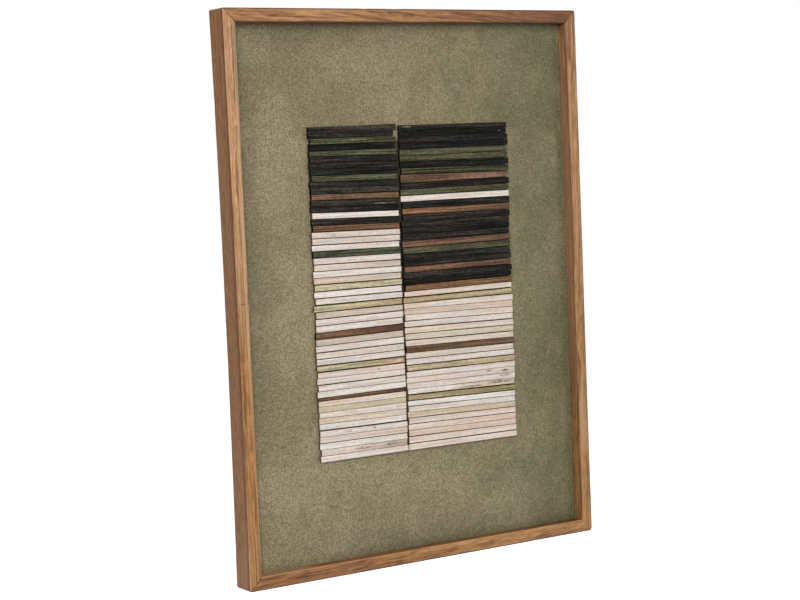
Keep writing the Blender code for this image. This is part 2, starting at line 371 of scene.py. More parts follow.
def oiled_wood(
    name, turned, seed, slant, reach, tones,
    outer_arris_dirt_and_light, inner, drift, marks_from, marks, lip_drift=(),
):
    """Oiled hardwood with its grain along the rail, or slanting a little across it: broad figure,
    dark growth lines, flecks, open pores, a drift of tone along the length, soiling, and painted shade
    and painted highlight on the arrises. The outer sides are redder and darker, with painted shadow
    along the back edges, and the back is bare and grey."""
    pale, body, deep, pink = (paint(*tone) for tone in tones)
    material, shader, place = new_surface(name, 0.5)
    shader.inputs["Specular IOR Level"].default_value = 0.25
    turn = {"Vector": place, "Rotation": (0.0, math.pi / 2 if turned else 0.0, 0.0)}
    plank = place.node("ShaderNodeMapping", {"vector_type": "POINT"}, turn)
    plank = plank.shifted((seed, seed * 2.3, seed * 0.7))
    run, depth, across = plank.parts()
    wave = plank.grain((7, 30, 30), 3.0, 0.5) - 0.5
    bent = place.vector(run, depth + wave * 0.010, across + wave * 0.020 + run * slant)
    figure = bent.grain((reach, 170, 170), 4.0, 0.6, 0.4)
    lines = bent.grain((reach * 1.6, 400, 400), 3.0, 0.55, 0.3)
    fibre = bent.grain((26, 1300, 1300), 3.0, 0.65)
    flecks = bent.grain((70, 420, 420), 4.0, 0.65, 0.4)
    threads = bent.grain((20, 760, 760), 3.0, 0.6, 0.3)
    blotch = bent.grain((26, 80, 80), 4.0, 0.65, 0.4)
    pores = bent.grain((120, 2600, 2600), 2.0, 0.5).band(0.60, 0.70)
    tone = figure * 0.42 + lines * 0.38 + blotch * 0.20
    stops = [(0.43, deep), (0.50, body), (0.57, pale)]
    wood = tone.node("ShaderNodeValToRGB", {"stops": stops}, {"Fac": tone})
    wood = (blotch.band(0.50, 0.64) * 0.5).mixed(wood, pink)
    wood = (lines.band(0.55, 0.64) * 0.35).mixed(wood, deep)
    wood = wood.toned(0.13, flecks).toned(0.15, threads).toned(0.16, fibre, 0.15)
    x, y, z = place.parts()
    lengthwise = z if turned else x
    for drift_from, drift_to, tint in drift:
        wood = wood.tinted(tint, lengthwise.band(drift_from * MM, drift_to * MM))
    wood = (pores * 0.35).mixed(wood, deep)
    edge_x = (panel_high.x - panel_low.x) / 2 - abs(x - centre_x)
    edge_z = (panel_high.z - panel_low.z) / 2 - abs(z - centre_z)
    to_edge = edge_x if turned else edge_z
    to_front = y - front_y
    behind_front = to_front.band(0.7 * MM, 1.8 * MM)
    on_side = behind_front * to_edge.band(9.0 * MM, 5.0 * MM)
    side_wood = flecks.band(0.40, 0.60).mixed(paint(131, 84, 46), paint(170, 116, 69))
    wood = (on_side * 0.68).mixed(wood, side_wood)
    ragged = blotch * 0.3 + lines * 0.3 + flecks * 0.4
    from_x, from_z = marks_from
    for over_x, over_z, half_x, half_z, colour, strength in marks:
        mark_place = (from_x + over_x * MM, from_z + over_z * MM)
        spot = place.spot(*mark_place, half_x * MM, half_z * MM, ragged)
        wood = (spot * strength).mixed(wood, colour)
    streak = on_side * (to_front + (figure - 0.5) * 0.02).band(9 * MM, 3 * MM)
    wood = (streak * 0.45).mixed(wood, paint(92, 54, 33))
    dark_line = to_front.band(0.15 * MM, 0.5 * MM) * to_front.band(4 * MM, 2 * MM)
    dark_line = dark_line * to_edge.band(4 * MM, 3 * MM)
    wood = (dark_line * 0.55).mixed(wood, paint(84, 50, 30))
    on_lip = behind_front * to_edge.band(rail_width - 0.8 * MM, rail_width - 0.3 * MM)
    for drift_from, drift_to, tint in lip_drift:
        wood = wood.tinted(tint, on_lip * lengthwise.band(drift_from * MM, drift_to * MM))
    # The outer arris: painted highlight on the left stile, painted shade with soiling on the bottom
    # rail.
    rim = (to_edge + to_front).band(2.4 * MM, 0.7 * MM) * blotch.band(0.30, 0.60, 0.50, 0.95)
    wood = (rim * (1 - dark_line * 0.8)).mixed(wood, outer_arris_dirt_and_light)
    tight_corner = x.band(centre_x, centre_x + 0.1) * z.band(centre_z, centre_z - 0.1)
    mitre = abs(edge_x - edge_z).band(1.0 * MM, 0.3 * MM) * edge_x.band(4 * MM, 16 * MM, 0.50, 0.95)
    wood = (mitre * (1 - tight_corner * 0.8)).mixed(wood, paint(66, 42, 27))
    # The inner arris: painted shade with soiling on the top rail and right stile, painted highlight on
    # the bottom rail.
    inner_edge = abs(to_edge - rail_width) + to_front
    inner_arris_grime_and_light = inner_edge.band(2.0 * MM, 0.4 * MM) * blotch.band(0.30, 0.60, 0.40, 0.90)
    wood = inner_arris_grime_and_light.mixed(wood, inner)
    # Painted shadow along the back edges of the sides and the rebate.
    bare = y.band(back_y - 1.0 * MM, back_y - 0.2 * MM)
    back_edge_shadow = y.band(back_y - 3.5 * MM, back_y - 1.0 * MM) * (1 - bare)
    wood = (back_edge_shadow * 0.55).mixed(wood, paint(58, 46, 38))
    bare_wood = tone.band(0.42, 0.58).mixed(paint(112, 92, 72), paint(152, 130, 106))
    wood = (bare * 0.75).mixed(wood, bare_wood)
    feed(shader, wood, "Base Color")
    feed(shader, fibre * 0.16 + pores * 0.12 + bare * 0.18 + 0.42, "Roughness")
    height = fibre * 0.4 + lines * 0.5 + figure * 0.4 + flecks * 0.2 - pores * 0.6
    feed(shader, bump(height, 0.4, 0.3 * MM), "Normal")
    return material


# Each rail's inner length, the corners at its start and its end, the middle of its inner edge from the
# panel's centre, and its turn.
RAIL_PLANS = (
    ("top_rail", inner_width, ("top_left", "top_right"), (0.0, inner_height / 2), 0.0),
    ("right_stile", inner_height, ("top_right", "bottom_right"), (inner_width / 2, 0.0), math.pi / 2),
    ("bottom_rail", inner_width, ("bottom_right", "bottom_left"), (0.0, -inner_height / 2), math.pi),
    ("left_stile", inner_height, ("bottom_left", "top_left"), (-inner_width / 2, 0.0), -math.pi / 2),
)

# Each rail was cut from its own board. A seed shifts its grain, a slant tilts it, and reach says how
# quickly it changes along the rail. The tones are its pale, body and deep grain and a pinkish or orange
# blotch, and the next two colours are its outer and its inner arris: painted highlight on the left
# stile's outer and the bottom rail's inner arris, painted shade with soiling on the bottom rail's outer
# arris and on the top rail's and right stile's inner arris. It drifts to a tint between two places
# along its length, and so can its lip. Its knots, stains, saw lines and painted shade along the bottom
# edges each have a place right of and over marks_from, half sizes, a colour and a share. Places and
# sizes are in millimetres.
rail_front_x = (inner_width + rail_width) / 2
# This dark colour is soiling, and on the bottom rail's outer arris it is painted shade as well.
dirt_and_arris_shade = paint(74, 48, 31)
# This dark colour is soiling with painted shade: in the top rail's and right stile's inner arris and
# along the bottom edges.
grime_and_shade = paint(70, 44, 28)
beige = paint(200, 166, 128)
brown_grain = paint(138, 98, 62)
knot_dark = paint(84, 56, 40)
knot_halo = paint(214, 176, 136)
saw_line = paint(98, 66, 46)
weathered = paint(140, 120, 94)
sun_bleached = paint(212, 166, 120)
straw = paint(182, 150, 100)
rosy = paint(158, 118, 94)
side_light = paint(184, 134, 92)
RAIL_WOODS = {
    "top_rail": {
        "seed": 1.7,
        "slant": 0.07,
        "reach": 7.0,
        "tones": ((184, 138, 92), (160, 113, 72), (116, 76, 46), (170, 118, 76)),
        "outer_arris_dirt_and_light": dirt_and_arris_shade,
        "inner": grime_and_shade,
        "drift": ((-100, 160, paint(222, 212, 200)), (120, 260, paint(210, 198, 190))),
        "marks_from": (0.0, 0.0),
        "marks": (
            (-262, -3.5, 22, 1.1, knot_dark, 0.40),
            (-240, 1.0, 16, 0.8, knot_dark, 0.35),
            (70, -4.0, 30, 1.6, knot_dark, 0.35),
            (185, -13.0, 60, 3.2, knot_dark, 0.45),
            (262, -7.0, 14, 5.0, knot_dark, 0.30),
        ),
    },
    "right_stile": {
        "seed": 5.3,
        "slant": 0.02,
        "reach": 4.0,
        "tones": ((186, 142, 96), (163, 119, 76), (126, 84, 50), (170, 122, 78)),
        "outer_arris_dirt_and_light": paint(112, 76, 50),
        "inner": grime_and_shade,
        "drift": ((-360, -460, paint(244, 241, 228)),),
        "marks_from": (rail_front_x, 0.0),
        "marks": (
            (0.0, -120, 1.0, 22, knot_dark, 0.40),
            (-4.0, -330, 0.9, 50, knot_dark, 0.35),
            (4.0, -600, 0.9, 60, knot_dark, 0.25),
            (-1.0, -610, 7.0, 70, beige, 0.30),
            (-9.5, -300, 0.9, 280, rosy, 0.55),
        ),
    },
    "bottom_rail": {
        "seed": 9.1,
        "slant": -0.05,
        "reach": 7.0,
        "tones": ((185, 140, 89), (161, 116, 71), (116, 75, 43), (172, 113, 62)),
        "outer_arris_dirt_and_light": dirt_and_arris_shade,
        # A painted highlight on the inner arris, which faces up.
        "inner": paint(182, 138, 94),
        "drift": ((20, -120, paint(218, 208, 206)),),
        "lip_drift": ((-150, 0, paint(208, 206, 202)),),
        "marks_from": (0.0, centre_z - inner_height / 2),
        "marks": (
            (-200, -10.0, 30, 1.3, knot_dark, 0.45),
            (-120, -13.0, 36, 1.6, knot_dark, 0.40),
            (40, -6.0, 24, 1.0, knot_dark, 0.35),
            (-250, 0.0, 60, 1.6, beige, 0.35),
            (258, -1.0, 34, 2.0, grime_and_shade, 0.50),
            # Painted shade along the bottom edge.
            (0, -18.6, 420, 1.7, grime_and_shade, 0.75),
        ),
    },
    "left_stile": {
        "seed": 3.9,
        "slant": 0.0,
        "reach": 2.2,
        "tones": ((194, 150, 104), (174, 130, 88), (136, 94, 58), (184, 130, 92)),
        # A painted highlight on the outer arris.
        "outer_arris_dirt_and_light": paint(196, 156, 124),
        "inner": paint(178, 146, 114),
        "drift": ((-360, -500, paint(243, 232, 200)),),
        "marks_from": (-rail_front_x, 0.0),
        "marks": (
            (-5.0, -150, 3.0, 190, sun_bleached, 0.28),
            (5.5, -300, 2.6, 300, beige, 0.45),
            (-0.5, -400, 1.7, 80, brown_grain, 0.50),
            (-3.0, -360, 2.0, 110, straw, 0.60),
            (7.0, -60, 2.6, 80, weathered, 0.75),
            (3.5, -70, 0.8, 70, knot_dark, 0.75),
            (3.8, -150, 2.2, 6.0, knot_halo, 0.45),
            (3.6, -155, 1.2, 2.4, knot_dark, 0.80),
            (1.0, -225, 1.1, 50, knot_dark, 0.60),
            (3.0, -360, 0.9, 90, knot_dark, 0.45),
            (1.0, -395.7, 5.0, 1.5, saw_line, 0.60),
            (-3.0, -560, 1.0, 70, knot_dark, 0.20),
            (6.0, -690, 0.9, 60, knot_dark, 0.35),
            (-4.5, -745, 4.0, 60, brown_grain, 0.45),
            (4.5, -745, 2.5, 50, beige, 0.20),
            (-9.8, -690, 1.0, 120, side_light, 0.90),
            # Painted shade at the bottom corner.
            (-9.5, -793.5, 14, 2.0, grime_and_shade, 0.90),
            (-9.8, -200, 1.0, 100, side_light, 0.35),
        ),
    },
}

for name, inner_length, corners, (x, z), turn in RAIL_PLANS:
    wood = RAIL_WOODS[name]
    hollow = HOLLOW_SIDE.get(name, 0.0)
    mesh = rail_mesh("oiled_" + name, inner_length, corners, wood["seed"], hollow)
    mesh.transform(Matrix.Translation((centre_x + x, 0.0, centre_z + z)) @ Matrix.Rotation(turn, 4, "Y"))
    rail = new_object("oiled_" + name, mesh)
    mesh.materials.append(oiled_wood(name + "_wood", name.endswith("stile"), **wood))
    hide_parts(name)
    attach(rail, "root")


# ----------------------------------------------------------
# The backing board: thin fibreboard that lies in the rebate behind the lip. Its front is painted
# olive brown with sand in the paint, stippled by hand; its back is raw and brown.
# ----------------------------------------------------------

BOARD_GRID = 2.4 * MM
BOARD_ARRIS = 0.4 * MM
SHARP_ANGLE = math.radians(35)
SWELL_DEPTH = 0.10 * MM
DAUB_DEPTH = 0.14 * MM
board_low, board_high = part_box("backing_board")


def board_relief(x, z):
    """How far the hand-laid paint lies under the board's true face: broad swells and small daubs."""
    swell = 0.5 + 0.5 * noise.noise(Vector((x * 14, 3.0, z * 14)))
    daub = 0.5 + 0.5 * noise.noise(Vector((x * 120, 8.0, z * 90)))
    return SWELL_DEPTH * swell + DAUB_DEPTH * daub


def board_mesh(name):
    """A closed sheet: a fine grid in front, a narrow rim round it, and one flat face behind."""
    columns = round((board_high.x - board_low.x) / BOARD_GRID)
    rows = round((board_high.z - board_low.z) / BOARD_GRID)
    shape = bmesh.new()
    sheet = {}
    for row in range(rows + 1):
        for column in range(columns + 1):
            x = board_low.x + (board_high.x - board_low.x) * column / columns
            z = board_low.z + (board_high.z - board_low.z) * row / rows
            on_rim = row in (0, rows) or column in (0, columns)
            y = board_low.y + (BOARD_ARRIS if on_rim else board_relief(x, z))
            sheet[column, row] = shape.verts.new((x, y, z))
    for row in range(rows):
        for column in range(columns):
            corners = ((column, row), (column + 1, row), (column + 1, row + 1), (column, row + 1))
            shape.faces.new([sheet[corner] for corner in corners])
    rim = [(column, 0) for column in range(columns)]
    rim += [(columns, row) for row in range(rows)]
    rim += [(column, rows) for column in range(columns, 0, -1)]
    rim += [(0, row) for row in range(rows, 0, -1)]
    front_rim = [sheet[place] for place in rim]
    back_rim = [shape.verts.new((vertex.co.x, board_high.y, vertex.co.z)) for vertex in front_rim]
    for index in range(len(rim)):
        before = index - 1
        shape.faces.new((front_rim[before], front_rim[index], back_rim[index], back_rim[before]))
    shape.faces.new(back_rim)
    mesh = finished_mesh(name, shape)
    mesh.set_sharp_from_angle(angle=SHARP_ANGLE)
    return mesh


# The two stacks cover this much of the board. Under them it is painted near black, as painted shade
# that shows in their joints and in the gap between the stacks.
slat_boxes = [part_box(node_name) for node_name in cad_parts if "_slat" in node_name]
stacks_low, stacks_high = extent([corner for slat_box in slat_boxes for corner in slat_box])
GAP_UNSHADED_EDGE = 3.5 * MM
GAP_UNSHADED_TOP = 24 * MM

# Where the paint's tone changes: the place right of or over the origin where it starts to, and the
# place where it has. Darker up is painted shade towards the top, and the darker patch is painted
# shade by the right lip. Shade is painted along the lip, apart from the unshaded places, which also
# have a share. The board is also darker just above the bottom lip.
GREENER_RIGHT = (0.02, 0.24)
GREENER_DOWN = (-0.50, -0.75)
DARKER_UP = (-0.30, -0.06)
DARKER_PATCH = ((0.17, 0.25), (-0.36, -0.45))
SHADE_FROM_LIP = (52 * MM, 0.0)
DARKER_FROM_BOTTOM = (14 * MM, 1 * MM)
LIP_UNSHADED_SIDE = ((0.250, 0.272), 0.75)
LIP_UNSHADED_PATCHES = (
    ((0.04, 0.15), (-0.36, -0.22), 0.9),
    ((-0.12, -0.20), (-0.54, -0.62), 0.8),
)


def sand_paint(name):
    """Olive-brown paint with sand in it: cloudy patches, greener to the right, a coarse stipple of
    light and dark grains, fine grit, painted shade towards the top and along the lip, darker just above
    the bottom lip, near black under the slats as painted shade in their joints, and raw fibreboard
    behind."""
    material, shader, place = new_surface(name, 0.9)
    x, y, z = place.parts()
    cloud = place.grain((9, 9, 8), 4.0, 0.6, 0.4)
    drift = place.shifted((2.0, 0.0, 5.0)).grain((20, 20, 16), 3.0, 0.6)
    dry = place.shifted((6.0, 0.0, 1.0)).grain((15, 15, 11), 3.0, 0.6, 0.5)
    clumps = place.grain((200, 200, 190), 3.0, 0.6)
    stipple = place.grain((680, 680, 640), 2.0, 0.5)
    grit = place.grain((1500, 1500, 1500), 2.0, 0.6)
    olive_brown = cloud.band(0.40, 0.60).mixed(paint(128, 117, 87), paint(141, 130, 100))
    green = cloud.band(0.40, 0.60).mixed(paint(100, 97, 66), paint(113, 108, 77))
    greener = x + (cloud - 0.5) * 0.4 + (drift - 0.5) * 0.3 - z.band(*GREENER_DOWN) * 0.06
    greener = greener.band(*GREENER_RIGHT)
    colour = (greener * 0.85).mixed(olive_brown, green)
    colour = (drift.band(0.50, 0.66) * (greener * 0.45 + 0.10)).mixed(colour, paint(100, 102, 68))
    colour = (dry.band(0.52, 0.70) * 0.35).mixed(colour, paint(150, 132, 104))
    # Painted shade towards the top.
    colour = colour.tinted(paint(243, 242, 238), z.band(*DARKER_UP))
    from_side = inner_width / 2 - abs(x - centre_x)
    from_end = inner_height / 2 - abs(z - centre_z)
    from_bottom = z - (centre_z - inner_height / 2)
    # Painted shade along the lip, weaker in the unshaded places.
    from_lip = from_side.math("MINIMUM", from_end) + (cloud - 0.5) * 0.02
    side_places, side_share = LIP_UNSHADED_SIDE
    lip_unshaded = x.band(*side_places) * side_share
    for x_places, z_places, share in LIP_UNSHADED_PATCHES:
        lip_unshaded = lip_unshaded + x.band(*x_places) * z.band(*z_places) * share
    lip_shade = from_lip.band(*SHADE_FROM_LIP) * (1 - lip_unshaded.math("MINIMUM", 1.0))
    colour = colour.tinted(paint(226, 226, 226), lip_shade)
    # Darker just above the bottom lip.
    colour = colour.tinted(paint(224, 222, 216), from_bottom.band(*DARKER_FROM_BOTTOM))
    # Painted shade in a patch by the right lip.
    darker_x, darker_z = DARKER_PATCH
    colour = colour.tinted(paint(243, 244, 236), x.band(*darker_x) * z.band(*darker_z))
    colour = colour.toned(0.10, clumps).toned(0.33, stipple).toned(0.10, grit)
    half_width = (stacks_high.x - stacks_low.x) / 2 - GAP_UNSHADED_EDGE
    inside_x = half_width - abs(x - (stacks_high.x + stacks_low.x) / 2)
    inside_low = z - (stacks_low.z + GAP_UNSHADED_EDGE)
    inside_high = (stacks_high.z - GAP_UNSHADED_TOP) - z
    under_slats = inside_x.math("MINIMUM", inside_low).math("MINIMUM", inside_high)
    under_slats = under_slats + (clumps - 0.5) * 4 * MM
    # Painted shade: near black under the slats, which shows in their joints and in the gap between the
    # stacks.
    colour = (under_slats.band(0.0, 1.5 * MM) * 0.92).mixed(colour, paint(30, 22, 13))
    raw = y.band(board_low.y + 0.7 * MM, board_low.y + 1.2 * MM)
    fibres = place.grain((60, 200, 60), 5.0, 0.7)
    fibreboard = fibres.band(0.35, 0.65).mixed(paint(122, 92, 62), paint(146, 113, 78))
    fibreboard = (stipple.band(0.55, 0.7) * 0.4).mixed(fibreboard, paint(96, 70, 46))
    colour = raw.mixed(colour, fibreboard)
    feed(shader, colour, "Base Color")
    feed(shader, grit * 0.12 + 0.82, "Roughness")
    feed(shader, bump(stipple * 0.7 + grit * 0.3, 0.55, 0.6 * MM), "Normal")
    return material


painted_mesh = board_mesh("painted_backing_board")
painted_board = new_object("painted_backing_board", painted_mesh)
painted_mesh.materials.append(sand_paint("sand_paint"))
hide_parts("backing_board")
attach(painted_board, "root")


# ----------------------------------------------------------
# The slats: old sawn laths, cut to length, stained one by one and glued flat on the board in two
# stacks. Their edges are soft, their ends ragged, and the joints between them close unevenly.
# ----------------------------------------------------------

# The stains as they are mixed, 0 to 255. One whose linear red is over PALE_FROM is a pale stain.
PALE_FROM = 0.3
MIXED_STAINS = {
    "jet": (10, 10, 10),
    "ink": (20, 20, 15),
    "soot": (35, 35, 30),
    "charcoal": (45, 40, 35),
    "faded_black": (55, 50, 45),
    "moss_black": (50, 45, 40),
    "bog": (65, 60, 45),
    "olive": (85, 85, 65),
    "dull_olive": (70, 70, 50),
    "bottle": (75, 80, 60),
    "rust": (125, 95, 80),
    "cinnamon": (135, 100, 70),
    "umber": (115, 90, 70),
    "russet": (100, 75, 60),
    "walnut": (80, 60, 50),
    "cocoa": (110, 85, 60),
    "white": (230, 225, 220),
    "bone": (235, 225, 220),
    "chalk": (225, 215, 210),
    "cream": (225, 210, 200),
    "blush": (220, 205, 195),
    "pink_cream": (210, 190, 175),
    "greige": (200, 185, 170),
    "oatmeal": (215, 200, 190),
    "sand": (220, 205, 185),
    "biscuit": (215, 190, 175),
    "peach": (220, 200, 185),
    "fawn": (185, 165, 150),
    "khaki": (195, 185, 155),
    "pale_khaki": (205, 190, 165),
    "honey_khaki": (185, 165, 135),
    "moss_khaki": (140, 125, 90),
    "smoke": (150, 140, 135),
    "knot_brown": (150, 110, 65),
    "stain_brown": (130, 95, 65),
    "bark": (90, 70, 55),
    "slate_blue": (180, 180, 180),
    "sage": (175, 180, 145),
}
STAINS = {name: paint(*mixed) for name, mixed in MIXED_STAINS.items()}

# The stains in the order the slats were laid, from the top down. "a>b" turns from a at the slat's
# left end to b at its right end.
LEFT_ORDER = """
    faded_black soot olive>dull_olive ink olive faded_black>soot charcoal soot olive moss_black>soot
    faded_black>bog rust>umber moss_black charcoal>ink white faded_black>soot umber blush blush chalk
    bottle chalk blush>greige chalk pink_cream khaki bone chalk khaki>honey_khaki greige
    chalk chalk umber>walnut greige chalk blush chalk khaki>honey_khaki blush chalk
    chalk white cocoa peach>cream pale_khaki>khaki chalk sand bone chalk blush>biscuit
    white blush>fawn white
""".split()
RIGHT_ORDER = """
    soot ink charcoal>jet ink olive olive ink bottle>dull_olive russet>rust moss_black>ink
    olive>dull_olive chalk soot cinnamon>russet moss_black>ink charcoal soot>jet faded_black>soot
    rust>russet olive>dull_olive soot charcoal umber>russet faded_black>soot ink cinnamon
    peach>cream honey_khaki cream pink_cream cream chalk sand>cream sand>pale_khaki oatmeal
    umber oatmeal chalk pale_khaki>honey_khaki chalk cream>oatmeal chalk white>pale_khaki
    honey_khaki>moss_khaki white chalk pale_khaki>khaki blush cream>biscuit biscuit cream cream
""".split()

# The joints: the gap in millimetres at the left and right end, and the slats that lie just over such
# a joint. All the others are tight.
TIGHT = (0.25, 0.25)
JOINTS = {
    "left": {
        (1.10, 1.10): (19, 22, 27, 28, 30, 35, 37, 38, 40, 48),
        (0.75, 0.75): (18, 23, 26, 31, 34, 36, 50),
        (0.50, 0.50): range(1, 18),
        (0.95, 0.45): (25,),
        (0.45, 0.95): (24, 29),
    },
    "right": {
        (1.10, 1.10): (27, 34, 43, 51),
        (0.75, 0.75): (32, 33, 37, 38, 44, 47),
        (0.50, 0.50): range(1, 27),
        (0.95, 0.40): (31, 39, 45, 50),
        (0.40, 0.95): (28,),
    },
}

# Knots, smears and worn places: the slat, the place along the panel and over the slat's middle, half
# the mark's length and height, all in millimetres, its stain, and how strongly it shows. NO_MARK
# stands in where a slat has fewer than two.
MARKS = {
    "left": {
        3: ((-92, 1.0, 22, 1.2, "khaki", 0.30),),
        13: ((-48, -3.0, 20, 1.2, "khaki", 0.30),),
        18: ((-134, 0.0, 5, 3.0, "smoke", 0.50),),
        23: ((-52, 0.0, 14, 2.6, "smoke", 0.30),),
        30: ((-98, 0.5, 16, 2.8, "fawn", 0.55), (-128, -1.0, 10, 1.6, "fawn", 0.40)),
        38: ((-35, 0.0, 9, 2.4, "peach", 0.60),),
        39: ((-68, 0.0, 5, 2.6, "fawn", 0.60), (-68, 0.0, 2, 1.0, "knot_brown", 0.60)),
        41: ((-112, 0.0, 14, 2.6, "slate_blue", 0.35),),
        46: ((-35, 0.5, 8, 1.8, "knot_brown", 0.50),),
        49: ((-124, 0.5, 7, 2.4, "knot_brown", 0.75), (-80, 0.5, 4, 2.0, "knot_brown", 0.70)),
        52: ((-100, 0.0, 14, 2.4, "stain_brown", 0.85), (-50, 0.5, 12, 2.4, "bark", 0.75)),
    },
    "right": {
        1: ((-2, 1.5, 10, 1.2, "fawn", 0.35),),
        2: ((160, 0.5, 3, 0.9, "smoke", 0.55),),
        9: ((130, 0.0, 34, 3.6, "fawn", 0.16),),
        15: ((80, 3.4, 90, 1.2, "olive", 0.55),),
        27: ((-6, 0.0, 14, 3.2, "peach", 0.50),),
        33: ((0, 0.5, 16, 2.6, "khaki", 0.45),),
        34: ((65, 0.0, 8, 2.2, "sage", 0.45), (110, 0.5, 10, 2.4, "sage", 0.40)),
        41: ((125, 1.0, 7, 2.0, "bark", 0.90), (155, -0.5, 7, 2.2, "bark", 0.95)),
        42: ((156, 1.0, 14, 2.0, "bark", 0.70), (60, 1.5, 20, 1.2, "bark", 0.35)),
        43: ((145, 0.5, 24, 2.4, "bark", 0.85), (90, -1.4, 26, 1.6, "bark", 0.80)),
        44: ((120, 0.0, 40, 3.4, "moss_khaki", 0.35),),
        49: ((95, 0.5, 34, 1.5, "fawn", 0.45),),
    },
}
NO_MARK = (0.0, 0.0, 1000.0, 1.0, "chalk", 0.0)

# The CAD slats' arrises, which lie between the flat of an end and the slat's true size.
CAD_ARRIS = 0.4 * MM
WELD_DISTANCE = 1e-6
FACES_SIDEWAYS = 0.99


def slat_ends(node, side):
    """The flat ends of a run's slats on its left (-1) or right (1) side, from the top down, each as
    the lowest and highest corner of the slat's true end. The CAD mesh is copied and welded first."""
    shape = bmesh.new()
    shape.from_mesh(node.data)
    bmesh.ops.remove_doubles(shape, verts=shape.verts, dist=WELD_DISTANCE)
    shape.normal_update()
    waiting = {face for face in shape.faces if face.normal.x * side > FACES_SIDEWAYS}
    ends = []
    while waiting:
        island = [waiting.pop()]
        for face in island:
            for edge in face.edges:
                for other in edge.link_faces:
                    if other in waiting:
                        waiting.remove(other)
                        island.append(other)
        low, high = extent([vertex.co for face in island for vertex in face.verts])
        arris = Vector((0.0, CAD_ARRIS, CAD_ARRIS))
        ends.append((low - arris, high + arris))
    shape.free()
    return sorted(ends, key=lambda end: -end[0].z)


def slat_points(name, slats):
    """A point for each slat of a run, which carries the slat's lines, ends, faces and stains."""
    mesh = bpy.data.meshes.new(name)
    mesh.from_pydata([(0.0, 0.0, 0.0)] * len(slats), [], [])
    for key in slats[0]:
        kind, field = ("FLOAT_COLOR", "color") if key.endswith("colour") else ("FLOAT_VECTOR", "vector")
        carried = mesh.attributes.new(key, kind, "POINT")
        for point, slat in zip(carried.data, slats):
            setattr(point, field, slat[key])
    return mesh


